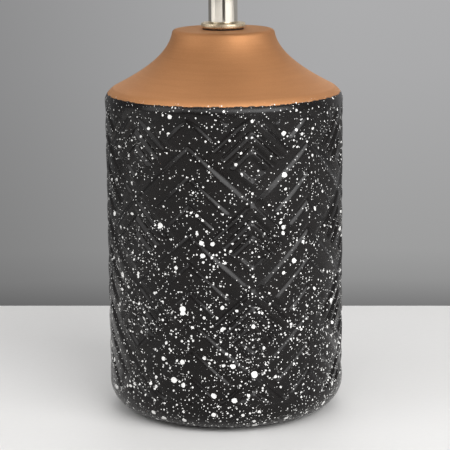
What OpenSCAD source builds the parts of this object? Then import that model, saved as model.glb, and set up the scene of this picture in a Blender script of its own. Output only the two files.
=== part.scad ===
// Table lamp: slip-cast ceramic base on a felt foot, nickel neck, push-bar
// lampholder and a tapered fabric drum shade that sits on the lampholder.
// Millimetres, +Z up. Origin: centre of the felt foot's underside. The cable
// inlet is at the back, +Y.

/* [Ceramic base] */
// Outer radius of the cylindrical wall
body_r = 65.2; // [62:0.1:70]
// Height where the wall ends and the shoulder's rounded rim begins
wall_top_z = 173; // [160:1:185]
// Height of the shoulder, from the end of the wall to the flat top
shoulder_h = 38.2; // [34:0.1:44]
// Radius of the flat foot, inside the rounded bottom edge
foot_r = 52; // [50:0.5:54]
// Height of the rounded bottom edge
foot_round_h = 14; // [10:0.5:18]
// Thickness of the ceramic wall
wall_t = 6; // [5:0.5:7]

/* [Foot] */
// Radius of the felt disc
felt_r = 48; // [46:0.5:50]
// Thickness of the felt disc
felt_t = 2; // [1:0.5:3]
// Radius of the recess that holds the bottom plate
recess_r = 44; // [42:0.5:45]
// Depth of the recess, from the ceramic's foot up
recess_h = 11; // [11:0.5:13]
// Height of the cable inlet's axis
inlet_z = 32; // [30:1:60]
// Radius of the hole through the cable grommet
inlet_bore_r = 3.5; // [3:0.1:4]

/* [Neck] */
// Radius of the nickel neck tube
neck_r = 8; // [7.5:0.1:9]
// Length of the neck tube
neck_len = 42; // [30:1:80]
// Radius of the nickel washer under the neck tube
neck_washer_r = 12.1; // [11:0.1:14]
// Thickness of the nickel washer
neck_washer_t = 2.7; // [1.5:0.1:4]
// Radius of the hollow threaded rod (M10 x 1)
rod_r = 4.97; // [4.9:0.01:5]
// Radius of the cable way through the rod
rod_bore_r = 3.6; // [3:0.1:4]

/* [Lampholder] */
// Outer radius of the lampholder's cap
cap_r = 20.5; // [20.5:0.1:22]
// Outer radius of the threaded sleeve, as a plain cylinder on its crests
sleeve_r = 19.75; // [19.7:0.05:20]
// Inner radius of the lamp's screw shell (takes an E27 lamp cap)
socket_r = 13.35; // [13.3:0.05:13.5]
// Length of the screw shell
socket_h = 18; // [16:1:19]
// How far the push-through switch bar travels
switch_travel = 5; // [3:0.5:6]

/* [Shade] */
// Outer radius of the fabric at the bottom edge
shade_bottom_r = 120; // [110:1:130]
// Outer radius of the fabric at the top edge
shade_top_r = 100; // [90:1:110]
// Height of the shade's bottom edge above the table
shade_z = 250; // [248:0.5:256]
// Height of the shade, edge to edge
shade_h = 165; // [150:1:190]
// Thickness of the fabric
fabric_t = 0.8; // [0.6:0.1:1]
// Thickness of the stiff liner behind the fabric
liner_t = 0.6; // [0.4:0.1:0.8]
// Radius of the wire in the rings
wire_r = 1.5; // [1.2:0.1:1.6]
// Number of arms from the bottom ring to the fitter ring
arm_count = 3; // [3, 4]

/* [Hidden] */
$fn = 96;

// --- Base levels
foot_z = felt_t;
recess_z = foot_z + recess_h;
floor_t = 7;
floor_z = recess_z + floor_t;
floor_hole_r = 20;
top_z = wall_top_z + shoulder_h;
inner_r = body_r - wall_t;
neck_hole_r = 6;
plate_r = 42;
plate_t = 1.5;
lock_washer_t = 1.2;
nut_t = 5;
nut_across_flats = 14;
thread_gap = 0.03;

// --- Cable inlet
grommet_flange_r = 6.5;
grommet_neck_r = 4.7;
grommet_proud = 1;
grommet_fit = 0.05;
flat_depth = 2.5;

// --- Neck levels
cushion_t = 0.8;
cushion_r = 11.2;
washer_z = top_z + cushion_t;
tube_z = washer_z + neck_washer_t;
tube_t = 1.2;
tube_cap_t = 1.5;
tube_cap_r = 9.5;
spigot_h = 2;
holder_z = tube_z + neck_len + tube_cap_t;
rod_bottom_z = foot_z + 2;
rod_top_z = holder_z + 12;

// --- Lampholder levels, all from its underside
cap_boss_r = 9;
cap_boss_h = 4;
cap_cone_top = 14.5;
cap_h = 27;
cap_wall = 2;
cap_floor_r = 12;
cap_floor_h = 9;
cap_inner_cone_top = 15;
lock_screw_r = 1.5;
lock_screw_h = 2.2;
earth_y = -9;
earth_size = [6, 5, 4];
switch_z = holder_z + 20.5;
housing_size = [22, 16, 9];
bar_r = 2.5;
bar_fit = 0.05;
bar_hole_gap = 0.3;
tip_r = 4.2;
tip_len = 7;
bar_in_x = cap_r + 1.5;
core_z = holder_z + 25;
core_r = 17.8;
core_h = 11.5;
core_flange_r = 20.4;
core_flange_t = 1.5;
cup_r = 17.6;
cup_inner_r = 14.8;
cup_h = 18;
terminal_y = 12.5;
terminal_size = [6, 5, 4];
terminal_screw_r = 1.5;
shell_t = 1.25;
contact_t = 0.8;
contact_h = 4.2;
sleeve_z = holder_z + cap_h + core_flange_t;
sleeve_bore_r = 18.1;
sleeve_h = 36;
sleeve_flange_r = 25;
sleeve_flange_t = 2.5;
sleeve_lip_r = 15;
sleeve_lip_t = 2;

// --- Shade carrier levels
fitter_z = sleeve_z + sleeve_flange_t;
fitter_bore_r = 20.6;
fitter_r = 29.5;
fitter_t = 1.6;
ring_z = fitter_z + fitter_t;
ring_h = 8;
ring_bore_r = 20.1;
ring_r = 27;
ring_grips = 24;
ring_grip_r = 1.1;
shade_top_z = shade_z + shade_h;
trim_w = 10;
trim_t = 0.5;

// Points of a cubic curve from a to d that leaves towards b and arrives from c
function curve(a, b, c, d, steps) =
    [for (i = [0 : steps]) let (t = i / steps, s = 1 - t)
        s * s * s * a + 3 * s * s * t * b + 3 * s * t * t * c + t * t * t * d];

// Points of a quarter ellipse about centre c, from angle a0 to a1
function arc_points(c, rx, rz, a0, a1, steps) =
    [for (i = [0 : steps]) let (a = a0 + (a1 - a0) * i / steps)
        c + [rx * cos(a), rz * sin(a)]];

// Outer radius of the shade's fabric at height z
function shade_r(z) =
    shade_bottom_r + (shade_top_r - shade_bottom_r) * (z - shade_z) / shade_h;

// A plain tube or washer
module ring(r_out, r_in, h) {
    difference() {
        cylinder(r = r_out, h = h);
        translate([0, 0, -1]) cylinder(r = r_in, h = h + 2);
    }
}

// A hexagonal nut with a round hole
module hex_nut(across_flats, hole_r, h) {
    difference() {
        cylinder(d = across_flats / cos(30), h = h, $fn = 6);
        translate([0, 0, -1]) cylinder(r = hole_r, h = h + 2);
    }
}

// A screw pointing up: a head with a slot, and a plain shank above it
module slotted_screw(head_r, head_h, shank_r, shank_h) {
    difference() {
        cylinder(r = head_r, h = head_h);
        translate([-head_r - 1, -0.3, -0.1]) cube([2 * head_r + 2, 0.6, head_h / 2 + 0.1]);
    }
    translate([0, 0, head_h]) cylinder(r = shank_r, h = shank_h);
}

// A conical band between two heights that follows the shade's taper
module shade_band(z0, z1, out0, out1) {
    rotate_extrude()
        polygon([
            [shade_r(z0) + out0, z0], [shade_r(z0) + out1, z0],
            [shade_r(z1) + out1, z1], [shade_r(z1) + out0, z1]
        ]);
}

// A wire ring about the lamp's axis
module wire_ring(r, z) {
    rotate_extrude() translate([r, z]) circle(r = wire_r, $fn = 32);
}

// --- Foot and clamp

module felt_foot() {
    color([0.10, 0.10, 0.10]) cylinder(r = felt_r, h = felt_t);
}

module bottom_plate() {
    color([0.15, 0.15, 0.16])
        translate([0, 0, recess_z - plate_t]) ring(plate_r, rod_r + 0.3, plate_t);
}

module lock_washer() {
    color([0.62, 0.62, 0.62])
        translate([0, 0, recess_z - plate_t - lock_washer_t])
            ring(9, rod_r + 0.15, lock_washer_t);
}

module rod_nut() {
    color([0.70, 0.68, 0.60])
        translate([0, 0, recess_z - plate_t - lock_washer_t - nut_t])
            hex_nut(nut_across_flats, rod_r + thread_gap, nut_t);
}

module threaded_rod() {
    color([0.66, 0.65, 0.60])
        translate([0, 0, rod_bottom_z]) ring(rod_r, rod_bore_r, rod_top_z - rod_bottom_z);
}

// --- Ceramic casting

// Outside of the casting, from the foot up to the hole in the flat top
function ceramic_outside() = concat(
    arc_points([foot_r, foot_z + foot_round_h], body_r - foot_r, foot_round_h, -90, 0, 12),
    curve([body_r, wall_top_z], [body_r, wall_top_z + 2.6],
          [body_r - 1.6, wall_top_z + 4.9], [body_r - 4.5, wall_top_z + 7], 8),
    curve([body_r - 4.5, wall_top_z + 7], [body_r - 20, top_z - 23.3],
          [neck_hole_r + 24.4, top_z - 13.9], [neck_hole_r + 22, top_z - 1.9], 16),
    [[neck_hole_r + 21.4, top_z - 0.6], [neck_hole_r + 20, top_z]]
);

// Inside of the casting, from the hole in the flat top down to the foot's recess
function ceramic_inside() = concat(
    [[neck_hole_r, top_z], [neck_hole_r, top_z - 7], [neck_hole_r + 15, top_z - 7]],
    curve([neck_hole_r + 18, top_z - 11.2], [neck_hole_r + 19.5, top_z - 19.2],
          [body_r - 24, wall_top_z + 10], [body_r - 9, wall_top_z + 2], 12),
    [[inner_r, wall_top_z - 4], [inner_r, floor_z + 4], [inner_r - 4, floor_z],
     [floor_hole_r, floor_z], [floor_hole_r, recess_z], [recess_r, recess_z],
     [recess_r, foot_z]]
);

module ceramic_body() {
    color([0.10, 0.10, 0.10])
        difference() {
            rotate_extrude() polygon(concat(ceramic_outside(), ceramic_inside()));
            translate([0, inner_r - 4, inlet_z]) rotate([-90, 0, 0])
                cylinder(r = grommet_neck_r, h = wall_t + 8);
            translate([0, body_r - flat_depth, inlet_z]) rotate([-90, 0, 0])
                cylinder(r = grommet_flange_r + grommet_fit, h = flat_depth + 4);
        }
}

module cable_grommet() {
    neck_len_in = flat_depth + 4;
    color([0.05, 0.05, 0.05])
        translate([0, body_r - neck_len_in, inlet_z]) rotate([-90, 0, 0])
            difference() {
                union() {
                    cylinder(r = grommet_neck_r - grommet_fit, h = neck_len_in);
                    translate([0, 0, neck_len_in - flat_depth])
                        cylinder(r = grommet_flange_r, h = flat_depth + grommet_proud);
                }
                translate([0, 0, -1]) cylinder(r = inlet_bore_r, h = neck_len_in + 4);
            }
}

// --- Neck

module cushion_washer() {
    color([0.12, 0.08, 0.05])
        translate([0, 0, top_z]) ring(cushion_r, rod_r + 0.3, cushion_t);
}

module neck_washer() {
    chamfer = 0.5;
    color([0.80, 0.76, 0.68])
        translate([0, 0, washer_z]) rotate_extrude()
            polygon([
                [rod_r + 0.15, 0], [neck_washer_r - 0.3, 0], [neck_washer_r, 0.3],
                [neck_washer_r, neck_washer_t - chamfer],
                [neck_washer_r - chamfer, neck_washer_t], [rod_r + 0.15, neck_washer_t]
            ]);
}

module neck_tube() {
    color([0.80, 0.79, 0.76])
        translate([0, 0, tube_z]) ring(neck_r, neck_r - tube_t, neck_len);
}

module tube_cap() {
    spigot_r = neck_r - tube_t - 0.05;
    color([0.80, 0.79, 0.76])
        translate([0, 0, tube_z + neck_len]) {
            ring(tube_cap_r, rod_r + 0.1, tube_cap_t);
            translate([0, 0, -spigot_h]) ring(spigot_r, rod_r + 0.1, spigot_h);
        }
}

// --- Lampholder

module holder_cap() {
    color([0.06, 0.06, 0.06])
        translate([0, 0, holder_z]) difference() {
            rotate_extrude()
                polygon([
                    [rod_r + thread_gap, 0], [cap_boss_r - 0.6, 0], [cap_boss_r, 0.6],
                    [cap_boss_r, cap_boss_h], [cap_r - 0.8, cap_cone_top - 0.6],
                    [cap_r, cap_cone_top + 0.6], [cap_r, cap_h], [cap_r - cap_wall, cap_h],
                    [cap_r - cap_wall, cap_inner_cone_top], [cap_floor_r, cap_floor_h],
                    [rod_r + thread_gap, cap_floor_h]
                ]);
            translate([-cap_r - 5, 0, switch_z - holder_z]) rotate([0, 90, 0])
                cylinder(r = bar_r + bar_hole_gap, h = 2 * cap_r + 10);
            translate([0, rod_r - 0.5, lock_screw_h]) rotate([-90, 0, 0])
                cylinder(r = lock_screw_r, h = 10);
        }
}

module cap_lock_screw() {
    color([0.70, 0.68, 0.60])
        translate([0, rod_r, holder_z + lock_screw_h]) rotate([-90, 0, 0])
            difference() {
                cylinder(r = lock_screw_r - thread_gap, h = cap_boss_r - rod_r);
                translate([-2, -0.25, cap_boss_r - rod_r - 0.8]) cube([4, 0.5, 2]);
            }
}

module earth_terminal() {
    color([0.75, 0.60, 0.25])
        translate([0, earth_y, holder_z + cap_floor_h]) difference() {
            translate([-earth_size[0] / 2, -earth_size[1] / 2, 0]) cube(earth_size);
            translate([-5, 0, 1.6]) rotate([0, 90, 0]) cylinder(r = 0.9, h = 10);
            translate([0, 0, 2.8]) cylinder(r = terminal_screw_r, h = 4);
        }
}

module earth_screw() {
    shank_h = 1.2;
    color([0.70, 0.68, 0.60])
        translate([0, earth_y, holder_z + cap_floor_h + earth_size[2] + 1.6])
            mirror([0, 0, 1])
                slotted_screw(2.1, 1.6, terminal_screw_r - thread_gap, shank_h);
}

module switch_housing() {
    color([0.85, 0.84, 0.80])
        translate([0, 0, switch_z]) difference() {
            cube(housing_size, center = true);
            translate([-housing_size[0] / 2 - 1, 0, 0]) rotate([0, 90, 0])
                cylinder(r = bar_r + bar_fit, h = housing_size[0] + 2);
        }
}

// One terminal block on the underside of the core, with its wire hole
module terminal_block() {
    translate([0, 0, -terminal_size[2]]) difference() {
        translate([-terminal_size[0] / 2, -terminal_size[1] / 2, 0]) cube(terminal_size);
        translate([0, 0, -1]) cylinder(r = terminal_screw_r, h = terminal_size[2] + 2);
    }
}

module terminal_blocks() {
    color([0.75, 0.60, 0.25])
        for (side = [-1, 1]) translate([0, side * terminal_y, core_z]) terminal_block();
}

module terminal_screws() {
    head_h = 1.6;
    color([0.70, 0.68, 0.60])
        for (side = [-1, 1])
            translate([0, side * terminal_y, core_z - terminal_size[2] - head_h])
                slotted_screw(2.1, head_h, terminal_screw_r - thread_gap, terminal_size[2] + 3);
}

module holder_core() {
    color([0.88, 0.87, 0.83])
        translate([0, 0, core_z]) difference() {
            union() {
                cylinder(r = core_r, h = core_h);
                translate([0, 0, cap_h + holder_z - core_z])
                    cylinder(r = core_flange_r, h = core_flange_t);
                translate([0, 0, core_h]) cylinder(r = cup_r, h = cup_h);
            }
            translate([0, 0, core_h]) cylinder(r = cup_inner_r, h = cup_h + 1);
            for (side = [-1, 1]) translate([0, side * terminal_y, -1])
                cylinder(r = terminal_screw_r, h = 5);
        }
}

// Brass leaf: a flat foot on the core and a raised tongue in the middle
module centre_contact() {
    leaf_w = 5;
    tongue_h = contact_h - contact_t - 0.3;
    color([0.78, 0.62, 0.28])
        translate([0, leaf_w / 2, core_z + core_h]) rotate([90, 0, 0])
            linear_extrude(leaf_w)
                polygon([
                    [-9, 0], [-5, 0], [-2, tongue_h], [2, tongue_h], [2, tongue_h + contact_t],
                    [-2.4, tongue_h + contact_t], [-5.3, contact_t], [-9, contact_t]
                ]);
}

// Brass angle: a foot on the core and an upright under the screw shell's rim
module side_contact() {
    color([0.78, 0.62, 0.28])
        translate([0, 3, core_z + core_h]) rotate([90, 0, 0])
            linear_extrude(6)
                polygon([
                    [7, 0], [14.2, 0], [14.2, contact_h], [13.5, contact_h],
                    [13.5, contact_t], [7, contact_t]
                ]);
}

module screw_shell() {
    color([0.80, 0.66, 0.34])
        translate([0, 0, core_z + core_h + contact_h])
            ring(socket_r + shell_t, socket_r, socket_h);
}

module holder_sleeve() {
    color([0.06, 0.06, 0.06])
        translate([0, 0, sleeve_z]) rotate_extrude()
            polygon([
                [sleeve_bore_r, 0], [sleeve_flange_r - 0.4, 0], [sleeve_flange_r, 0.4],
                [sleeve_flange_r, sleeve_flange_t], [sleeve_r, sleeve_flange_t],
                [sleeve_r, sleeve_h - 0.8], [sleeve_r - 0.8, sleeve_h],
                [sleeve_lip_r, sleeve_h], [sleeve_lip_r, sleeve_h - sleeve_lip_t],
                [sleeve_bore_r, sleeve_h - sleeve_lip_t]
            ]);
}

// --- Switch bar: at rest it is pushed towards -X, and travels towards +X

module switch_bar() {
    color([0.06, 0.06, 0.06])
        translate([-bar_in_x - switch_travel, 0, switch_z]) rotate([0, 90, 0])
            cylinder(r = bar_r, h = 2 * bar_in_x + switch_travel);
}

// One push tip with a domed outer end, along +Z from its inner face
module push_tip() {
    dome_h = 1.6;
    rotate_extrude()
        polygon(concat(
            [[0, 0], [tip_r - 0.3, 0], [tip_r, 0.3]],
            arc_points([0, tip_len - dome_h], tip_r, dome_h, 0, 90, 10)
        ));
}

module switch_tips() {
    color([0.06, 0.06, 0.06]) {
        translate([bar_in_x, 0, switch_z]) rotate([0, 90, 0]) push_tip();
        translate([-bar_in_x - switch_travel, 0, switch_z]) rotate([0, -90, 0]) push_tip();
    }
}

// --- Shade carrier

module retaining_ring() {
    color([0.06, 0.06, 0.06])
        translate([0, 0, ring_z]) difference() {
            cylinder(r = ring_r, h = ring_h);
            translate([0, 0, -1]) cylinder(r = ring_bore_r, h = ring_h + 2);
            for (i = [0 : ring_grips - 1])
                rotate([0, 0, i * 360 / ring_grips]) translate([ring_r + 0.4, 0, 1.5])
                    cylinder(r = ring_grip_r, h = ring_h);
        }
}

module fitter_ring() {
    color([0.90, 0.89, 0.86])
        translate([0, 0, fitter_z]) ring(fitter_r, fitter_bore_r, fitter_t);
}

bottom_wire_z = shade_z + wire_r;
top_wire_z = shade_top_z - wire_r;
bottom_wire_ring_r = shade_r(bottom_wire_z) - fabric_t - liner_t - wire_r - 0.1;
top_wire_ring_r = shade_r(top_wire_z - wire_r) - fabric_t - liner_t - wire_r - 0.3;
arm_z = fitter_z + fitter_t / 2;
arm_start = [fitter_r - 0.9, arm_z];
arm_end = [bottom_wire_ring_r, bottom_wire_z];
arm_run = arm_end - arm_start;
arm_len = norm(arm_run);
arm_tilt = atan2(arm_run[0], arm_run[1]);

module fitter_arms() {
    color([0.90, 0.89, 0.86])
        for (i = [0 : arm_count - 1])
            rotate([0, 0, 90 + i * 360 / arm_count])
                translate([arm_start[0], 0, arm_start[1]]) rotate([0, arm_tilt, 0])
                    cylinder(r = 1.3, h = arm_len, $fn = 32);
}

module bottom_wire() {
    color([0.90, 0.89, 0.86]) wire_ring(bottom_wire_ring_r, bottom_wire_z);
}

module top_wire() {
    color([0.90, 0.89, 0.86]) wire_ring(top_wire_ring_r, top_wire_z);
}

// --- Shade skins

module shade_liner() {
    color([0.95, 0.94, 0.92])
        shade_band(shade_z, shade_top_z, -fabric_t - liner_t, -fabric_t - 0.02);
}

module shade_fabric() {
    color([0.86, 0.82, 0.75]) shade_band(shade_z, shade_top_z, -fabric_t, 0);
}

// Tape over one edge of the shade: an outer leg and a lip under or over the edge
module edge_trim(edge_z, up) {
    far_z = edge_z + up * trim_w;
    lip_z = edge_z - up * trim_t;
    edge_in = shade_r(edge_z) - fabric_t - liner_t;
    rotate_extrude()
        polygon([
            [shade_r(far_z) + 0.02, far_z], [shade_r(edge_z) + 0.02, edge_z],
            [edge_in, edge_z], [edge_in, lip_z], [shade_r(edge_z) + trim_t, lip_z],
            [shade_r(far_z) + trim_t, far_z]
        ]);
}

module bottom_trim() {
    color([0.80, 0.76, 0.69]) edge_trim(shade_z, 1);
}

module top_trim() {
    color([0.80, 0.76, 0.69]) edge_trim(shade_top_z, -1);
}

felt_foot();
bottom_plate();
lock_washer();
rod_nut();
threaded_rod();
ceramic_body();
cable_grommet();
cushion_washer();
neck_washer();
neck_tube();
tube_cap();
holder_cap();
cap_lock_screw();
earth_terminal();
earth_screw();
switch_housing();
terminal_blocks();
terminal_screws();
holder_core();
centre_contact();
side_contact();
screw_shell();
holder_sleeve();
switch_bar();
switch_tips();
retaining_ring();
fitter_ring();
fitter_arms();
bottom_wire();
top_wire();
shade_liner();
shade_fabric();
bottom_trim();
top_trim();
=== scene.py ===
"""Table lamp: the looks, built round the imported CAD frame.

Lengths are millimetres in the CAD's own frame: +Z up, the cable inlet at +Y, the
front at -Y. MM turns them into Blender's metres. Only the camera and the lights are
placed in metres.
"""

import math

import bpy
import numpy as np
from mathutils import Matrix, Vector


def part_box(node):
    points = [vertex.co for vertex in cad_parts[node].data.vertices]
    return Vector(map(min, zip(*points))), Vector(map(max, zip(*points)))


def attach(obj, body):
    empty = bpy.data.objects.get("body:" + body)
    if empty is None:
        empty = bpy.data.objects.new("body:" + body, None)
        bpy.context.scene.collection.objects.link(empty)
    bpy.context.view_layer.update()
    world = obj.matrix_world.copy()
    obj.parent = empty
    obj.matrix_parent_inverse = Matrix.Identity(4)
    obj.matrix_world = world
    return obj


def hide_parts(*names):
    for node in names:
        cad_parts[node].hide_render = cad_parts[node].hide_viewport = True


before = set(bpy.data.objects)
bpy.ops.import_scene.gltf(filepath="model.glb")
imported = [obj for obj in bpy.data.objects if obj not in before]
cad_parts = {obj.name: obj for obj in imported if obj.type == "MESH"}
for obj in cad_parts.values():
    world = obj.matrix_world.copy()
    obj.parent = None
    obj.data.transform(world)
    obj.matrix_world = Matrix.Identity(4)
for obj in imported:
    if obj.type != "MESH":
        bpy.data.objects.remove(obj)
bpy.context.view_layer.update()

MM = 0.001
RANDOM_SEED = 7


def box_mm(node):
    """Lowest and highest corner of a CAD node, in millimetres."""
    low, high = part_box(node)
    return [c / MM for c in low], [c / MM for c in high]


# --- The ceramic's sizes: what a box gives comes from the frame, the rest repeats the CAD
ceramic_low, ceramic_high = box_mm("ceramic_body")
BODY_R = ceramic_high[0]
FOOT_Z = ceramic_low[2]
TOP_Z = ceramic_high[2]
SHOULDER_H = 38.2
WALL_TOP_Z = TOP_Z - SHOULDER_H
COPPER_Z = WALL_TOP_Z + 4.0
FOOT_R = BODY_R - 13.2
FOOT_ROUND_H = 14.0
WALL_T = 6.0
INNER_R = BODY_R - WALL_T
RECESS_Z = box_mm("bottom_plate")[1][2]
RECESS_R = 44.0
FLOOR_Z = RECESS_Z + 7
FLOOR_HOLE_R = 20
NECK_HOLE_R = 6.0

# --- The cable inlet, on an axis along +Y
grommet_low, grommet_high = box_mm("cable_grommet")
INLET_Z = (grommet_low[2] + grommet_high[2]) / 2
FLANGE_R = (grommet_high[0] - grommet_low[0]) / 2

# --- The shade
fabric_low, fabric_high = box_mm("shade_fabric")
SHADE_Z, SHADE_TOP_Z = fabric_low[2], fabric_high[2]
SHADE_R = fabric_high[0]
SHADE_TAPER = 20.0
SHADE_MIDDLE_R = 110
FABRIC_T = 0.8
LINER_T = 0.6
GLUE_T = 0.12
TAPE_T = 0.5
TAPE_W = 10.0
SEAM_W = 9.0


# ---------------------------------------------------------------------------
# Meshes
# ---------------------------------------------------------------------------


def smoothstep(x):
    """0 below 0, 1 above 1, and a smooth rise between."""
    x = np.clip(x, 0.0, 1.0)
    return x * x * (3.0 - 2.0 * x)


def add_object(name, points, faces, sharp_deg=40):
    """A smooth-shaded mesh object from points in millimetres, creased above an angle."""
    mesh = bpy.data.meshes.new(name)
    mesh.from_pydata((np.asarray(points, float) * MM).tolist(), [], faces)
    mesh.validate()
    mesh.shade_smooth()
    mesh.set_sharp_from_angle(angle=math.radians(sharp_deg))
    obj = bpy.data.objects.new(name, mesh)
    bpy.context.scene.collection.objects.link(obj)
    return obj


def grid_faces(rows, columns, close_rows, first_diagonal=None):
    """Faces of a rows x columns grid whose columns wrap round. With first_diagonal, one
    flag a cell, each cell is two triangles: True splits it from its first corner."""
    faces = []
    for i in range(rows if close_rows else rows - 1):
        low, high = i * columns, (i + 1) % rows * columns
        for j in range(columns):
            k = (j + 1) % columns
            a, b, c, d = low + j, low + k, high + k, high + j
            if first_diagonal is None:
                faces.append((a, b, c, d))
            elif first_diagonal[i][j]:
                faces += [(a, b, c), (a, c, d)]
            else:
                faces += [(a, b, d), (b, c, d)]
    return faces


def turned(profile, columns, bulge=None, start=0.0):
    """A profile of (radius, z) turned about the Z axis from the angle start, anticlockwise
    from above: its points, and their radii as a grid of profile rows by columns.
    bulge(angle, radius, z) gives millimetres to add to the radius."""
    profile = np.asarray(profile, float)
    angle = np.arange(columns) * 2 * math.pi / columns + start
    radius = np.repeat(profile[:, :1], columns, 1)
    z = np.repeat(profile[:, 1:2], columns, 1)
    if bulge:
        radius = radius + bulge(angle[None, :], radius, z)
    points = np.stack([radius * np.cos(angle), radius * np.sin(angle), z], -1)
    return points.reshape(-1, 3), radius


def lathe(name, profile, columns=128, bulge=None, sharp_deg=40):
    """A closed turned piece. The profile runs anticlockwise in (radius, z)."""
    points = turned(profile, columns, bulge)[0]
    faces = grid_faces(len(profile), columns, True)
    return add_object(name, points, faces, sharp_deg)


def lay_in_wall(mesh):
    """Turns a lathed mesh from the Z axis onto the cable inlet's axis."""
    quarter = Matrix.Rotation(-math.pi / 2, 4, "X")
    mesh.transform(Matrix.Translation((0, 0, INLET_Z * MM)) @ quarter)


def rounded(profile, radius, steps=4):
    """A closed profile with each corner rounded by up to that radius."""
    profile = [np.array(p, float) for p in profile]
    out = []
    for i, corner in enumerate(profile):
        before, after = profile[i - 1], profile[(i + 1) % len(profile)]
        to_before, to_after = before - corner, after - corner
        room = min(np.linalg.norm(to_before), np.linalg.norm(to_after)) * 0.45
        cut = min(radius, room)
        start = corner + to_before / np.linalg.norm(to_before) * cut
        end = corner + to_after / np.linalg.norm(to_after) * cut
        for t in np.linspace(0, 1, steps + 1):
            out.append((1 - t) ** 2 * start + 2 * t * (1 - t) * corner + t * t * end)
    return out


def curve(a, b, c, d, steps):
    """Points of a cubic curve from a to d that leaves towards b and arrives from c."""
    t = np.linspace(0, 1, steps + 1)[:, None]
    s = 1 - t
    a, b, c, d = (np.array(p, float) for p in (a, b, c, d))
    return s**3 * a + 3 * s * s * t * b + 3 * s * t * t * c + t**3 * d


# ---------------------------------------------------------------------------
# Materials
# ---------------------------------------------------------------------------


def rgb(red, green, blue):
    """A display colour, 0 to 255 a channel, as linear light."""
    linear = []
    for value in (red, green, blue):
        c = value / 255
        linear.append(c / 12.92 if c <= 0.04045 else ((c + 0.055) / 1.055) ** 2.4)
    return (*linear, 1.0)


class Look:
    """A node material being built on a Principled shader. Sizes are millimetres. The
    constants go straight onto the shader's own sockets, such as Sheen_Weight=0.4."""

    def __init__(self, name, **constants):
        self.material = bpy.data.materials.new(name)
        self.material.use_nodes = True
        self.tree = self.material.node_tree
        self.shader = self.tree.nodes["Principled BSDF"]
        self.place = self.make("TexCoord", out="Object")
        for socket, value in constants.items():
            self.shader.inputs[socket.replace("_", " ")].default_value = value

    def make(self, kind, inputs=(), out=0, **settings):
        """Adds a node, feeds its inputs by name or number, and returns one output."""
        node = self.tree.nodes.new("ShaderNode" + kind)
        for key, value in settings.items():
            setattr(node, key, value)
        for key, value in dict(inputs).items():
            if isinstance(value, bpy.types.NodeSocket):
                self.tree.links.new(value, node.inputs[key])
            else:
                node.inputs[key].default_value = value
        return node.outputs[out]

    def feed(self, socket, value):
        """Links a value to a socket of the shader."""
        self.tree.links.new(value, self.shader.inputs[socket])

    def math(self, operation, a, b=0.0):
        """The result of one arithmetic node."""
        return self.make("Math", {0: a, 1: b}, operation=operation)

    def mix(self, share, a, b):
        """Colour a where share is 0 and colour b where it is 1."""
        return self.make("Mix", {0: share, 6: a, 7: b}, out=2, data_type="RGBA")

    def span(self, value, low, high, to_low=0.0, to_high=1.0):
        """Value carried smoothly from low..high to to_low..to_high, held outside."""
        inputs = {0: value, 1: low, 2: high, 3: to_low, 4: to_high}
        return self.make("MapRange", inputs, interpolation_type="SMOOTHSTEP")

    def noise(self, size, detail=2.0, place=None, out=0):
        """Cloudy noise from 0 to 1 with features of that size, or its colour with out=1."""
        inputs = {"Vector": place or self.place, "Scale": 1 / (size * MM), "Detail": detail}
        return self.make("TexNoise", inputs, out=out)

    def stretched(self, x, y, z):
        """Object coordinates stretched along each axis by these factors."""
        inputs = {"Vector": self.place, "Scale": (1 / x, 1 / y, 1 / z)}
        return self.make("Mapping", inputs)

    def height(self):
        """Height above the table, in millimetres."""
        z = self.make("SeparateXYZ", {0: self.place}, out=2)
        return self.math("MULTIPLY", z, 1 / MM)

    def bump(self, height, depth):
        """Bumps of up to depth millimetres from a height of 0 to 1."""
        inputs = {"Height": height, "Distance": depth * MM}
        self.feed("Normal", self.make("Bump", inputs))


def splatter(look, amount=1.0):
    """Share of white glaze flecks: round drops of many sizes, thrown in loose clusters,
    thinner towards the top. amount scales their radii."""
    ragged = look.noise(1.6, 1.0, out=1)
    offset = look.make("VectorMath", {0: ragged, 1: (0.5, 0.5, 0.5)}, operation="SUBTRACT")
    shift = look.make("VectorMath", {0: offset, 3: 0.6 * MM}, operation="SCALE")
    place = look.make("VectorMath", {0: look.place, 1: shift}, operation="ADD")
    empty = look.span(look.noise(20, 1.0), 0.34, 0.66, 0.14, -0.14)
    empty = look.math("ADD", empty, look.span(look.height(), 20, WALL_TOP_Z, -0.04, 0.14))
    drops = [
        # spacing, largest radius, power that makes large drops rarer, width of the soft
        # edge, and share of the spots left empty, which has to stay under 1 with empty added
        (1.0, 0.42, 1.2, 0.12, 0.57),
        (1.7, 0.64, 1.3, 0.10, 0.60),
        (2.9, 1.00, 1.6, 0.09, 0.56),
        (5.4, 1.70, 2.0, 0.09, 0.50),
    ]
    swell = look.span(look.height(), 20, WALL_TOP_Z, 1.10 * amount, 1.0 * amount)
    share = None
    for number, (spacing, largest, power, soft, bare) in enumerate(drops):
        moved = look.make("Mapping", {"Vector": place, "Location": (0.013 * number,) * 3})
        inputs = {"Vector": moved, "Scale": 1 / (spacing * MM)}
        near = look.make("TexVoronoi", inputs)
        chance = look.make("TexVoronoi", inputs, out=1)
        chance = look.make("SeparateColor", {0: chance})
        lowest = look.math("ADD", empty, bare)
        size = look.make("MapRange", {0: chance, 1: lowest, 2: 1.0})
        size = look.math("POWER", size, power)
        radius = look.math("MULTIPLY", size, look.math("MULTIPLY", swell, largest / spacing))
        gap = look.math("SUBTRACT", radius, near)
        drop = look.make("MapRange", {0: gap, 1: 0.0, 2: soft / spacing})
        share = drop if share is None else look.math("MAXIMUM", share, drop)
    return share


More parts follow.
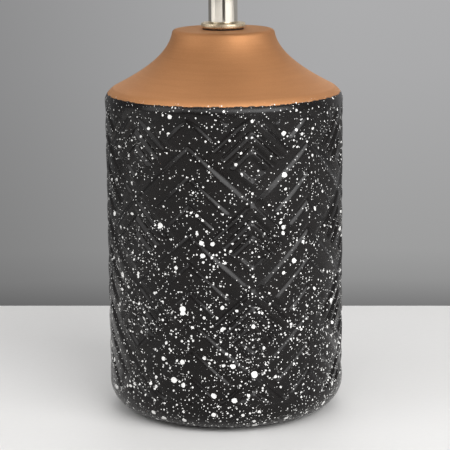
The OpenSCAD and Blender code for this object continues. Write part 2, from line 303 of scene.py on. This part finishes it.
def glaze_look():
    """Satin black glaze, uneven in tone, under dense white flecks."""
    look = Look("black_glaze", Specular_IOR_Level=0.25)
    flecks = splatter(look)
    cloud = look.noise(9, 4.0)
    ground = look.mix(cloud, rgb(2, 2, 2), rgb(15, 10, 9))
    white = look.mix(look.noise(1.2, 2.0), rgb(210, 209, 206), rgb(236, 236, 234))
    look.feed("Base Color", look.mix(flecks, ground, white))
    grain = look.noise(0.8, 3.0)
    rough = look.span(grain, 0.3, 0.7, 0.24, 0.32)
    look.feed("Roughness", look.make("Mix", {0: flecks, 2: rough, 3: 0.33}))
    peel = look.math("MULTIPLY", look.noise(2.4, 2.0), 0.35)
    raised = look.math("ADD", look.math("MULTIPLY", flecks, 0.65), peel)
    look.bump(raised, 0.10)
    return look.material


def copper_look():
    """Satin copper paint: fine metallic grain, faint turned streaks, and a ragged lower
    edge with a few of the wall's flecks just above it."""
    look = Look("copper_glaze")
    streaks = look.noise(2.0, 3.0, look.stretched(14, 14, 0.5))
    cloud = look.noise(16, 3.0)
    metal = look.mix(cloud, rgb(204, 150, 104), rgb(213, 159, 112))
    metal = look.mix(look.span(streaks, 0.35, 0.65, 0.0, 0.16), metal, rgb(190, 134, 90))
    edge = look.math("SUBTRACT", look.height(), COPPER_Z)
    edge = look.math("ADD", edge, look.span(look.noise(3.5, 2.0), 0.3, 0.7, -0.35, 0.25))
    bare = look.span(edge, 0.0, 0.12, 1.0, 0.0)
    low = look.span(look.height(), COPPER_Z + 0.4, COPPER_Z + 2.2, 1.0, 0.0)
    flecks = look.math("MULTIPLY", splatter(look, 0.8), low)
    colour = look.mix(bare, metal, rgb(40, 36, 34))
    look.feed("Base Color", look.mix(flecks, colour, rgb(244, 243, 240)))
    not_metal = look.math("MAXIMUM", bare, flecks)
    look.feed("Metallic", look.math("SUBTRACT", 1.0, not_metal))
    look.feed("Roughness", look.span(look.noise(0.5, 2.0), 0.3, 0.7, 0.56, 0.66))
    grain = look.math("MULTIPLY", look.noise(0.35, 2.0), 0.6)
    look.bump(look.math("ADD", grain, look.math("MULTIPLY", streaks, 0.4)), 0.02)
    return look.material


def metal_look(name, light, dark, rough, grain=0.4, depth=0.006, along=(1, 1, 1)):
    """Bare metal: two close tones in soft clouds, and fine scratches, longest along the
    axis with the largest factor. rough is the lowest and highest roughness."""
    look = Look(name, Metallic=1.0)
    look.feed("Base Color", look.mix(look.noise(6, 4.0), rgb(*dark), rgb(*light)))
    scratches = look.noise(grain, 3.0, look.stretched(*along))
    look.feed("Roughness", look.span(scratches, 0.3, 0.7, *rough))
    look.bump(scratches, depth)
    return look.material


def plastic_look(name, light, dark, rough, grain=0.5, depth=0.02, cloud=5.0):
    """Moulded, painted or fired surface: soft tone change and an even fine texture. rough
    is the lowest and highest roughness."""
    look = Look(name)
    look.feed("Base Color", look.mix(look.noise(cloud, 3.0), rgb(*dark), rgb(*light)))
    texture = look.noise(grain, 2.0)
    look.feed("Roughness", look.span(texture, 0.3, 0.7, *rough))
    look.bump(texture, depth)
    return look.material


def felt_look():
    """Pressed black felt: matted fibres."""
    look = Look("felt", Sheen_Weight=0.4, Sheen_Roughness=0.5)
    fibres = look.noise(0.5, 4.0, look.stretched(3, 1, 1))
    cross = look.noise(0.5, 4.0, look.stretched(1, 3, 1))
    mat = look.math("MAXIMUM", fibres, cross)
    look.feed("Base Color", look.mix(mat, rgb(14, 14, 15), rgb(52, 51, 52)))
    look.feed("Roughness", look.span(mat, 0.3, 0.7, 0.85, 1.0))
    look.bump(mat, 0.4)
    return look.material


def woven_look(name, light, dark, thread):
    """Plain weave: slubby warp threads up the cone and weft threads round it. thread is
    their spacing at the shade's middle."""
    look = Look(name, Sheen_Weight=0.15, Sheen_Roughness=0.6)
    x = look.make("SeparateXYZ", {0: look.place})
    y = look.make("SeparateXYZ", {0: look.place}, out=1)
    around = look.math("ARCTAN2", y, x)
    warps = round(2 * math.pi * SHADE_MIDDLE_R / thread)
    warp = look.math("SINE", look.math("MULTIPLY", around, warps))
    wobble = look.span(look.noise(9, 2.0), 0.3, 0.7, -0.35, 0.35)
    level = look.math("ADD", look.height(), wobble)
    weft = look.math("SINE", look.math("MULTIPLY", level, 2 * math.pi / thread))
    weave = look.math("MULTIPLY", warp, weft)
    slub_round = look.noise(1.0, 3.0, look.stretched(12, 12, 0.5))
    slub_up = look.noise(1.0, 3.0, look.stretched(0.6, 0.6, 16))
    slub = look.math("ADD", slub_round, slub_up)
    tone = look.math("ADD", look.math("MULTIPLY", weave, 0.14), look.span(slub, 0.8, 1.2))
    look.feed("Base Color", look.mix(tone, rgb(*dark), rgb(*light)))
    look.feed("Roughness", look.span(slub, 0.8, 1.2, 0.95, 0.82))
    height = look.math("ADD", look.math("MULTIPLY", weave, 0.3), look.math("MULTIPLY", slub, 0.5))
    look.bump(height, 0.22)
    return look.material


# A look for each material slot of the record, and nickel_satin for the neck washer
LOOKS = {
    "black_glaze": glaze_look(),
    "copper_glaze": copper_look(),
    "felt": felt_look(),
    "linen": woven_look("linen", (192, 184, 167), (146, 136, 118), 0.9),
    # linen_tape is the shade's own linen painted darker: painted shade that stands in for the
    # faint shadow line along the folded edge tapes
    "linen_tape": woven_look("linen_tape", (176, 167, 149), (130, 121, 103), 0.8),
    "nickel": metal_look("nickel", (226, 221, 211), (206, 199, 187), (0.07, 0.14),
                         grain=1.4, depth=0.002, along=(1, 1, 14)),
    "nickel_satin": metal_look("nickel_satin", (244, 229, 200), (228, 212, 182), (0.24, 0.38),
                               grain=0.6, depth=0.008),
    "zinc_steel": metal_look("zinc_steel", (196, 192, 178), (160, 156, 146), (0.28, 0.45)),
    "brass": metal_look("brass", (214, 178, 104), (184, 144, 76), (0.2, 0.36),
                        grain=0.8, depth=0.005),
    "black_steel": plastic_look("black_steel", (44, 44, 46), (28, 28, 30), (0.38, 0.55),
                                grain=0.7, depth=0.03),
    "black_plastic": plastic_look("black_plastic", (34, 34, 35), (24, 24, 25), (0.33, 0.46),
                                  grain=0.45),
    "black_rubber": plastic_look("black_rubber", (38, 37, 36), (24, 24, 24), (0.6, 0.8),
                                 grain=0.6, depth=0.03),
    "white_plastic": plastic_look("white_plastic", (232, 230, 222), (220, 217, 208), (0.35, 0.5)),
    "porcelain": plastic_look("porcelain", (240, 238, 230), (226, 223, 213), (0.12, 0.25),
                              grain=2, depth=0.03),
    "white_steel": plastic_look("white_steel", (236, 235, 231), (222, 221, 216), (0.3, 0.42),
                                grain=0.9, depth=0.03),
    "liner_film": plastic_look("liner_film", (244, 243, 240), (234, 232, 227), (0.42, 0.6),
                               grain=0.8, depth=0.02, cloud=30),
}


def dress(obj, look):
    """Makes one of LOOKS the object's only material."""
    obj.data.materials.clear()
    obj.data.materials.append(LOOKS[look])


def finish_piece(obj, body, slot, node, look=None):
    """Gives a new piece its look (the slot's, unless look is given) and its body, and hides
    the CAD node it stands for.
    """
    dress(obj, look or slot)
    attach(obj, body)
    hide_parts(node)


# ---------------------------------------------------------------------------
# Ceramic base: relief-carved black wall and copper shoulder
# ---------------------------------------------------------------------------

# The carving repeats on a diagonal lattice. Coordinates u and v run down to the right
# and down to the left from the top of a chevron. One unit of each is LATTICE_DEG round
# the wall and LATTICE_MM down it.
LATTICE_DEG = 7.5
LATTICE_MM = 7.7
LATTICE_TOP_DEG = -17.0
LATTICE_TOP_Z = 157.9
CELLS_A_UNIT = 9
WALL_COLUMNS = round(360 / LATTICE_DEG * CELLS_A_UNIT)

# Depths in millimetres, and the share of a board that its rise takes
BOARD_DEPTH = 1.1
RISE = 0.27
GROOVE_DEPTH = 1.6
GROOVE_HALF_W = 0.19
RECESS_DEPTH = 1.2


def groove(distance):
    """1 at the middle of a groove and 0 beyond its half width, in lattice units."""
    x = np.clip(np.abs(distance) / GROOVE_HALF_W, 0, 1)
    return 0.5 + 0.5 * np.cos(math.pi * x)


def carving(u, v):
    """Millimetres cut from the wall at lattice coordinates u and v."""
    side = np.abs((u - v + 4) % 8 - 4)
    below = (u + v - side) / 2 % 3
    along = below + side

    # overlapping boards: a quick rise under each edge, then a slow fall to the next
    board = below % 1
    top = np.clip((board - RISE) / (1 - RISE), 0, 1)
    fall = 0.45 * top**1.4 + 0.55 * smoothstep((board - 0.91) / 0.09)
    boards = BOARD_DEPTH * np.where(board < RISE, 1 - smoothstep(board / RISE), fall)

    # diamond between the chevrons: a raised pad with two nested channels and a sunken
    # middle, set off from the boards by a trench and a low border
    inside = along - 4
    open_part = smoothstep((2.6 - below) / 0.12)
    channels = np.maximum(groove(inside - 0.58), groove(inside - 1.12))
    floor = smoothstep((inside - 1.42) / 0.12) * smoothstep((2.36 - below) / 0.12)
    trench = 1 - smoothstep((inside + 0.02) / 0.16)
    border = smoothstep((below - 2.5) / 0.14)
    edge = BOARD_DEPTH * np.maximum(trench, border)
    pad = np.maximum(GROOVE_DEPTH * channels * open_part, RECESS_DEPTH * floor)
    share = smoothstep((along - 3.66) / 0.14) * smoothstep((below - 0.1) / 0.25)
    return boards + share * (np.maximum(edge, pad) - boards)


def wave_field(angle, z, size, count, seed):
    """Smooth unevenness, mostly between -1 and 1, that closes round the wall: count waves
    no shorter than size millimetres across or up."""
    pick = np.random.default_rng(seed)
    total = np.zeros(np.broadcast(angle, z).shape)
    turns = 2 * math.pi * BODY_R / size
    for _ in range(count):
        round_waves = int(pick.integers(-int(turns), int(turns) + 1))
        up_waves = pick.uniform(-1, 1) * 2 * math.pi / size
        phase = pick.uniform(0, 2 * math.pi)
        total = total + np.sin(round_waves * angle + up_waves * z + phase)
    return total / math.sqrt(count)


# The rounded rim, from the top of the straight wall to the start of the shoulder's flare
RIM_END = (BODY_R - 4.5, WALL_TOP_Z + 7)
RIM = curve((BODY_R, WALL_TOP_Z), (BODY_R, WALL_TOP_Z + 2.6),
            (BODY_R - 1.6, WALL_TOP_Z + 4.9), RIM_END, 24)


def outside_radius(z):
    """Outer radius of the plain wall and its rounded rim at height z."""
    return float(np.interp(z, RIM[:, 1], RIM[:, 0]))


def wall_profile():
    """The wall's section, anticlockwise: the rounded edge up from the foot, the wall on the
    lattice's rows, the cut at the copper line, and the inside back down to the foot."""
    foot_arc = [
        (FOOT_R + (BODY_R - FOOT_R) * math.cos(a), FOOT_Z + FOOT_ROUND_H * (1 + math.sin(a)))
        for a in np.linspace(-math.pi / 2, 0, 14)
    ]
    step = LATTICE_MM / CELLS_A_UNIT
    rows = LATTICE_TOP_Z + step * np.arange(-200, 60)
    rows = rows[(rows > FOOT_Z + FOOT_ROUND_H + 0.4) & (rows < COPPER_Z - 0.2)]
    wall = [(outside_radius(z), z) for z in rows]
    inside = [
        (INNER_R - 1, COPPER_Z), (INNER_R, WALL_TOP_Z - 4), (INNER_R, 100), (INNER_R, 44),
        (INNER_R, FLOOR_Z + 4), (INNER_R - 4, FLOOR_Z), (FLOOR_HOLE_R, FLOOR_Z),
        (FLOOR_HOLE_R, RECESS_Z), (RECESS_R, RECESS_Z), (RECESS_R, FOOT_Z),
    ]
    return foot_arc + wall + [(outside_radius(COPPER_Z), COPPER_Z)] + inside


def wall_depth(angle, radius, z):
    """Millimetres to add to the wall's radius outside: the carving, softened by the glaze,
    and the slight unevenness of a slip casting. Both fade out at the foot and the copper."""
    from_front = np.degrees(angle) + 90
    across = (from_front - LATTICE_TOP_DEG) / LATTICE_DEG
    down = (LATTICE_TOP_Z - z) / LATTICE_MM
    depth = carving((down + across) / 2, (down - across) / 2)
    for axis in (0, 1):
        depth = 0.7 * depth + 0.15 * (np.roll(depth, 1, axis) + np.roll(depth, -1, axis))
    fade = smoothstep((COPPER_Z - 2.5 - z) / 8) * smoothstep((z - FOOT_Z - 15) / 4)
    uneven = 0.10 * wave_field(angle, z, 26, 14, RANDOM_SEED)
    uneven = uneven + 0.035 * wave_field(angle, z, 9, 18, RANDOM_SEED + 1)
    outer = (z > FOOT_Z) & (radius > INNER_R + 0.5)
    settle = smoothstep((z - FOOT_Z) / 12) * smoothstep((COPPER_Z - z) / 4)
    return np.where(outer, -depth * fade + uneven * settle, 0.0)


def drill_inlet(wall):
    """Cuts the grommet's hole and its spotface through the back of the wall."""
    hole_r, spot_r, axis_r = FLANGE_R - 1.75, FLANGE_R + 0.05, 0.01
    spot_y = BODY_R - 2.5
    inner_y, outer_y = spot_y - 12, spot_y + 12
    profile = [(axis_r, inner_y), (hole_r, inner_y), (hole_r, spot_y), (spot_r, spot_y),
               (spot_r, outer_y), (axis_r, outer_y)]
    cutter = lathe("inlet_cutter", profile, 64)
    lay_in_wall(cutter.data)
    cut = wall.modifiers.new("inlet", "BOOLEAN")
    cut.object = cutter
    cut.solver = "MANIFOLD"
    bpy.context.view_layer.update()
    drilled = bpy.data.meshes.new_from_object(
        wall.evaluated_get(bpy.context.evaluated_depsgraph_get())
    )
    wall.modifiers.remove(cut)
    wall.data = drilled
    bpy.data.objects.remove(cutter)


def ceramic_wall():
    """The black wall, one closed casting up to the copper line, carved all round. Its
    columns lie on the lattice, and each cell splits along its flatter diagonal."""
    profile = wall_profile()
    start = math.radians((LATTICE_TOP_DEG - 90) % (360 / WALL_COLUMNS))
    points, radius = turned(profile, WALL_COLUMNS, wall_depth, start)
    right, up = np.roll(radius, -1, 1), np.roll(radius, -1, 0)
    both = np.roll(right, -1, 0)
    first_diagonal = np.abs(radius - both) < np.abs(right - up)
    faces = grid_faces(len(profile), WALL_COLUMNS, True, first_diagonal)
    wall = add_object("ceramic_wall", points, faces, 50)
    drill_inlet(wall)
    finish_piece(wall, "base", "black_glaze", "ceramic_body")


def ceramic_shoulder():
    """The copper shoulder, one closed piece from the copper line to the flat top."""
    edge_r, edge_z = NECK_HOLE_R + 22, TOP_Z - 1.9
    under_z = TOP_Z - 7
    rim = [p for p in RIM if p[1] > COPPER_Z + 0.1]
    flare = curve(RIM_END, (BODY_R - 20, TOP_Z - 23.3), (edge_r + 2.4, TOP_Z - 13.9),
                  (edge_r, edge_z), 60)
    edge = curve((edge_r, edge_z), (edge_r - 0.2, TOP_Z - 0.9), (edge_r - 0.8, TOP_Z),
                 (edge_r - 2.4, TOP_Z), 8)
    inside = curve((edge_r - 4, under_z - 4.2), (edge_r - 2.5, under_z - 12.2),
                   (BODY_R - 24, WALL_TOP_Z + 10), (INNER_R - 1.2, COPPER_Z + 0.6), 20)
    profile = [(outside_radius(COPPER_Z), COPPER_Z), *rim, *flare[1:], *edge[1:]]
    profile += [(20, TOP_Z), (13, TOP_Z), (NECK_HOLE_R, TOP_Z), (NECK_HOLE_R, under_z),
                (edge_r - 7, under_z), *inside, (INNER_R - 1, COPPER_Z)]

    def uneven(angle, radius, z):
        calm = smoothstep((z - COPPER_Z) / 5) * smoothstep((radius - NECK_HOLE_R - 8) / 16)
        return 0.09 * calm * wave_field(angle, z, 34, 12, RANDOM_SEED + 2)

    shoulder = lathe("ceramic_shoulder", profile, 256, uneven, 50)
    finish_piece(shoulder, "base", "copper_glaze", "ceramic_body")


# ---------------------------------------------------------------------------
# Neck
# ---------------------------------------------------------------------------


def neck_washer():
    """Nickel washer with softly rounded edges."""
    low, high = box_mm("neck_washer")
    bore = 5.12
    profile = [(bore, low[2]), (high[0], low[2]), (high[0], high[2]), (bore, high[2])]
    piece = lathe("neck_washer_turned", rounded(profile, 0.75, 5))
    finish_piece(piece, "base", "nickel", "neck_washer", "nickel_satin")


def neck_tube():
    """Polished nickel tube with broken edges at both ends."""
    low, high = box_mm("neck_tube")
    inner = high[0] - 1.2
    profile = [(inner, low[2]), (high[0], low[2]), (high[0], high[2]), (inner, high[2])]
    piece = lathe("neck_tube_polished", rounded(profile, 0.3))
    finish_piece(piece, "base", "nickel", "neck_tube")


# ---------------------------------------------------------------------------
# Foot, cable inlet and lampholder
# ---------------------------------------------------------------------------


def felt_pad():
    """Felt disc glued under the foot, its cut edge soft and a little ragged."""
    low, high = box_mm("felt_foot")
    edge_r, under_z, over_z = high[0], low[2], high[2]
    columns = 240
    radii = np.linspace(2, edge_r - 0.7, 14)
    profile = [(r, under_z) for r in radii]
    profile += [(edge_r - 0.2, under_z + 0.15), (edge_r, under_z + 0.5),
                (edge_r, over_z - 0.5), (edge_r - 0.2, over_z - 0.15)]
    profile += [(r, over_z) for r in radii[::-1]]

    def ragged(angle, radius, z):
        rough = 1 + 0.5 * wave_field(angle, z, 6, 10, RANDOM_SEED + 5)
        return np.where(radius > edge_r - 0.8, -0.12 * rough, 0.0)

    points = turned(profile, columns, ragged)[0]
    rows = len(profile)
    faces = grid_faces(rows, columns, False)
    last = (rows - 1) * columns
    under, over = rows * columns, rows * columns + 1
    points = np.vstack([points, [(0, 0, under_z), (0, 0, over_z)]])
    for j in range(columns):
        k = (j + 1) % columns
        faces.append((under, k, j))
        faces.append((last + j, last + k, over))
    piece = add_object("felt_pad", points, faces, 60)
    finish_piece(piece, "base", "felt", "felt_foot")


def cable_grommet():
    """Rubber bush in the back of the wall, its mouth flared for the cable."""
    bore, neck_r = 3.5, FLANGE_R - 1.85
    inner_y, face_y = grommet_low[1], grommet_high[1]
    flange_y = face_y - 3.5
    profile = [(bore, inner_y), (neck_r, inner_y), (neck_r, flange_y), (FLANGE_R, flange_y),
               (FLANGE_R, face_y), (bore + 0.9, face_y), (bore, face_y - 1.4)]
    piece = lathe("cable_grommet_moulded", rounded(profile, 0.8, 5), 96)
    lay_in_wall(piece.data)
    finish_piece(piece, "base", "black_rubber", "cable_grommet")


def ridge(angle, z, pitch, sharpness):
    """Height from 0 to 1 of a right-hand thread with rounded crests."""
    phase = z / pitch - angle / (2 * math.pi)
    return (0.5 + 0.5 * np.cos(2 * math.pi * phase)) ** sharpness


def holder_sleeve():
    """Black threaded sleeve of the lampholder, with its flange and its open mouth."""
    low, high = box_mm("holder_sleeve")
    base, top = low[2], high[2]
    flange_r, crest, bore, mouth = high[0], 19.75, 18.1, 15.0
    thread_low, thread_high = base + 3.4, top - 1.6
    cut, pitch = 0.75, 2.8
    walls = [(crest, z) for z in np.linspace(thread_low, thread_high, 100)]
    profile = [
        (bore, base), (flange_r - 0.5, base), (flange_r - 0.15, base + 0.15),
        (flange_r, base + 0.5), (flange_r, base + 2.0), (flange_r - 0.15, base + 2.35),
        (flange_r - 0.5, base + 2.5), (crest + 0.3, base + 2.5), (crest, base + 2.8), *walls,
        (crest, top - 1.0), (crest - 0.3, top - 0.3), (crest - 1.0, top),
        (mouth + 0.5, top), (mouth, top - 0.5), (mouth, top - 2), (bore, top - 2),
    ]

    def thread(angle, radius, z):
        here = (radius > crest - 0.05) & (radius < crest + 0.05)
        fade = smoothstep((z - thread_low) / 1.5) * smoothstep((thread_high - z) / 1.5)
        return np.where(here, -cut * fade * (1 - ridge(angle, z, pitch, 0.7)), 0.0)

    piece = lathe("holder_sleeve_threaded", profile, 144, thread)
    finish_piece(piece, "base", "black_plastic", "holder_sleeve")


def screw_shell():
    """Brass screw shell, its thread rolled through the sheet."""
    low, high = box_mm("screw_shell")
    inner = high[0] - 1.25
    sheet, depth, pitch = 0.38, 0.85, 3.63
    levels = np.linspace(low[2], high[2], 56)
    profile = [(inner + sheet, z) for z in levels] + [(inner, z) for z in levels[::-1]]

    def rolled(angle, radius, z):
        fade = smoothstep((z - low[2]) / 1.6) * smoothstep((high[2] - z) / 1.2)
        return depth * (1 - fade * (1 - ridge(angle, z, pitch, 1.0)))

    piece = lathe("screw_shell_rolled", profile, 120, rolled)
    finish_piece(piece, "base", "brass", "screw_shell")


# ---------------------------------------------------------------------------
# Shade
# ---------------------------------------------------------------------------


def shade_r(z):
    """Outer radius of the fabric at height z."""
    return SHADE_R - SHADE_TAPER * (z - SHADE_Z) / (SHADE_TOP_Z - SHADE_Z)


def back_seam(angle, radius, height, width):
    """Millimetres that an overlap of that width adds at the back, with soft edges."""
    arc = np.abs((angle - math.pi / 2 + math.pi) % (2 * math.pi) - math.pi) * radius
    return height * smoothstep((width / 2 - arc) / 0.9 + 0.5)


def shade_fabric():
    """Stretched fabric cone with its overlapped seam at the back."""
    levels = np.linspace(SHADE_Z, SHADE_TOP_Z, 34)
    outer = [(shade_r(z), z) for z in levels]
    inner = [(shade_r(z) - FABRIC_T + 0.02, z) for z in levels[::-1]]

    def drawn(angle, radius, z):
        taut = 0.05 * (1 + wave_field(angle, z, 60, 10, RANDOM_SEED + 3) / 2)
        outside = radius > shade_r(z) - 0.1
        return taut + np.where(outside, back_seam(angle, radius, 0.34, SEAM_W), 0.0)

    piece = lathe("shade_fabric_cone", outer + inner, 720, drawn, 60)
    finish_piece(piece, "shade", "linen", "shade_fabric")


def edge_tape(name, node, edge_z, up):
    """Fabric tape folded over one edge of the shade. up is 1 where the tape's outside face
    runs up from the edge, and -1 where it runs down."""
    far_z, lip_z = edge_z + up * TAPE_W, edge_z - up * TAPE_T
    edge_in = shade_r(edge_z) - FABRIC_T - LINER_T
    profile = [
        (shade_r(far_z) + GLUE_T, far_z), (shade_r(edge_z) + GLUE_T, edge_z),
        (edge_in, edge_z), (edge_in, lip_z), (shade_r(edge_z) + TAPE_T, lip_z),
        (shade_r(far_z) + TAPE_T, far_z),
    ]
    if up < 0:
        profile.reverse()

    def pressed(angle, radius, z):
        calm = 0.05 * wave_field(angle, z, 14, 12, RANDOM_SEED + 4)
        outside = radius > shade_r(z) + 0.25
        return calm * outside + back_seam(angle, radius, 0.3, SEAM_W + 5) * outside

    piece = lathe(name, rounded(profile, 0.3, 3), 480, pressed)
    finish_piece(piece, "shade", "linen_tape", node)


def weld_beads():
    """Powder-coated weld beads where the arms meet the fitter ring and the bottom ring."""
    ring_low, ring_high = box_mm("fitter_ring")
    wire_low, wire_high = box_mm("bottom_wire")
    # distance from the axis, height and radius of each arm's two beads
    spots = [(ring_high[0] - 0.7, (ring_low[2] + ring_high[2]) / 2, 1.9),
             (wire_high[0] - 2.9, (wire_low[2] + wire_high[2]) / 2 + 0.2, 1.6)]
    rows, columns = 9, 16
    tilt = np.linspace(math.pi, 0, rows)[:, None]
    around = np.arange(columns) * 2 * math.pi / columns
    points, faces = [], []
    for arm in range(3):
        turn = math.radians(90 + 120 * arm)
        for distance, height, size in spots:
            lump = 1 + 0.08 * np.sin(3 * around + arm) * np.sin(tilt)
            flat = size * lump * np.sin(tilt)
            out = distance + 0.9 * flat * np.cos(around)
            side = 1.25 * flat * np.sin(around)
            x = out * math.cos(turn) - side * math.sin(turn)
            y = out * math.sin(turn) + side * math.cos(turn)
            z = height + 0.8 * size * np.cos(tilt)
            first = len(points) * rows * columns
            faces += [tuple(first + v for v in face) for face in grid_faces(rows, columns, False)]
            points.append(np.stack(np.broadcast_arrays(x, y, z), -1).reshape(-1, 3))
    piece = add_object("weld_beads", np.vstack(points), faces, 80)
    dress(piece, "white_steel")
    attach(piece, "shade")


# ---------------------------------------------------------------------------
# Camera, stage and light
# ---------------------------------------------------------------------------


def camera():
    """The photo's view: from the front, about 1 m away, looking a little down."""
    down_deg, roll_deg = 11.74, -0.53
    data = bpy.data.cameras.new("camera")
    data.lens = 144
    data.sensor_width = 36
    data.clip_start = 0.01
    obj = bpy.data.objects.new("camera", data)
    bpy.context.scene.collection.objects.link(obj)
    turn = Matrix.Rotation(math.radians(90 - down_deg), 4, "X")
    roll = Matrix.Rotation(math.radians(roll_deg), 4, "Z")
    obj.matrix_world = Matrix.Translation((0, -0.981, 0.306)) @ turn @ roll
    bpy.context.scene.camera = obj


def table_top():
    """Pale table top whose far edge, slightly skew, lies just behind the lamp."""
    edge_y, skew, thickness = 221, 0.0374, 30
    near, half = -2200, 2200
    outline = [(-half, near), (half, near), (half, edge_y - half * skew),
               (-half, edge_y + half * skew)]
    points = [(x, y, z) for z in (-thickness, 0) for x, y in outline]
    faces = [(3, 2, 1, 0), (4, 5, 6, 7)]
    faces += [(i, (i + 1) % 4, (i + 1) % 4 + 4, i + 4) for i in range(4)]
    top = add_object("table_top", points, faces)
    edge = top.modifiers.new("edge", "BEVEL")
    edge.width = 2.5 * MM
    edge.segments = 4
    look = Look("table_top")
    look.feed("Base Color", look.mix(look.noise(160, 2.0), rgb(214, 213, 211), rgb(220, 219, 218)))
    look.feed("Roughness", look.span(look.noise(3, 3.0), 0.3, 0.7, 0.55, 0.68))
    top.data.materials.append(look.material)


def surroundings():
    """Grey studio air: lighter upwards and to the right, darkest at the table's far edge."""
    world = bpy.data.worlds.new("studio")
    bpy.context.scene.world = world
    world.use_nodes = True
    tree = world.node_tree
    nodes, links = tree.nodes, tree.links
    place = nodes.new("ShaderNodeTexCoord").outputs["Generated"]
    parts = nodes.new("ShaderNodeSeparateXYZ")
    links.new(place, parts.inputs[0])
    rise = nodes.new("ShaderNodeValToRGB")
    ramp = rise.color_ramp
    # places on the ramp, which runs from a steep look down at 0 to the horizon at 1
    stops = [(0.0, (178, 178, 178)), (0.33, (124, 124, 124)), (0.38, (112, 112, 112)),
             (0.42, (139, 139, 139)), (0.46, (149, 149, 149)), (0.70, (161, 161, 162)),
             (1.0, (169, 169, 170))]
    while len(ramp.elements) < len(stops):
        ramp.elements.new(0.5)
    for element, (at, tone) in zip(ramp.elements, stops):
        element.position = at
        element.color = rgb(*tone)
    span = nodes.new("ShaderNodeMapRange")
    span.inputs["From Min"].default_value = -0.40
    span.inputs["From Max"].default_value = 0.0
    links.new(parts.outputs["Z"], span.inputs[0])
    links.new(span.outputs[0], rise.inputs[0])
    side = nodes.new("ShaderNodeMapRange")
    side.interpolation_type = "SMOOTHSTEP"
    side.inputs["From Min"].default_value = -0.22
    side.inputs["From Max"].default_value = 0.08
    side.inputs["To Min"].default_value = 0.62
    side.inputs["To Max"].default_value = 1.13
    links.new(parts.outputs["X"], side.inputs[0])
    links.new(rise.outputs[0], nodes["Background"].inputs["Color"])
    links.new(side.outputs[0], nodes["Background"].inputs["Strength"])


def panel(name, azimuth, distance, low, high, width, power):
    """A soft light panel that faces the lamp, in metres and watts. Azimuth 0 is at the
    front and 90 at the right."""
    data = bpy.data.lights.new(name, "AREA")
    data.shape = "RECTANGLE"
    data.size = width
    data.size_y = high - low
    data.energy = power
    obj = bpy.data.objects.new(name, data)
    obj.visible_camera = False
    a = math.radians(azimuth)
    middle, target = (low + high) / 2, 0.12
    place = Matrix.Translation((math.sin(a) * distance, -math.cos(a) * distance, middle))
    down = math.atan2(middle - target, distance)
    turn = Matrix.Rotation(math.pi / 2 - down, 4, "X")
    obj.matrix_world = place @ Matrix.Rotation(a, 4, "Z") @ turn
    bpy.context.scene.collection.objects.link(obj)


def dark_flag():
    """Low grey card in front, seen only in reflections: the dark line down the neck."""
    top_z = 130
    points = [(-95, -940, 0), (285, -900, 0), (285, -900, top_z), (-95, -940, top_z)]
    flag = add_object("dark_flag", points, [(0, 1, 2, 3)])
    for rays in ("camera", "diffuse", "shadow", "transmission"):
        setattr(flag, "visible_" + rays, False)
    look = Look("dark_flag", Roughness=1.0)
    look.feed("Base Color", look.mix(look.noise(50), rgb(80, 78, 76), rgb(94, 92, 90)))
    flag.data.materials.append(look.material)


# name, azimuth, distance, lowest and highest edge, width, power
LIGHTS = [
    ("key", 38, 1.7, 0.46, 1.5, 1.7, 37),
    ("right_card", 51, 1.0, 0.0, 0.26, 0.95, 0.1),
    ("left_card", -87, 1.1, 0.0, 0.26, 0.8, 0.36),
    ("fill", -62, 1.4, 0.4, 1.3, 1.1, 8),
    ("front", -12, 2.2, 1.3, 2.4, 2.2, 20),
    ("back", 180, 1.9, 0.9, 1.9, 1.8, 11),
    ("over", 5, 1.6, 1.7, 2.3, 1.6, 6),
]


camera()
table_top()
surroundings()
dark_flag()
for light in LIGHTS:
    panel(*light)

ceramic_wall()
ceramic_shoulder()
neck_washer()
neck_tube()
felt_pad()
cable_grommet()
holder_sleeve()
screw_shell()
shade_fabric()
edge_tape("bottom_tape", "bottom_trim", SHADE_Z, 1)
edge_tape("top_tape", "top_trim", SHADE_TOP_Z, -1)
weld_beads()

# The CAD nodes that no piece stands for get the look of their material slot
for cad_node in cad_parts.values():
    if not cad_node.hide_render:
        dress(cad_node, cad_node.data.materials[0].name)

bpy.context.scene.view_settings.view_transform = "Standard"
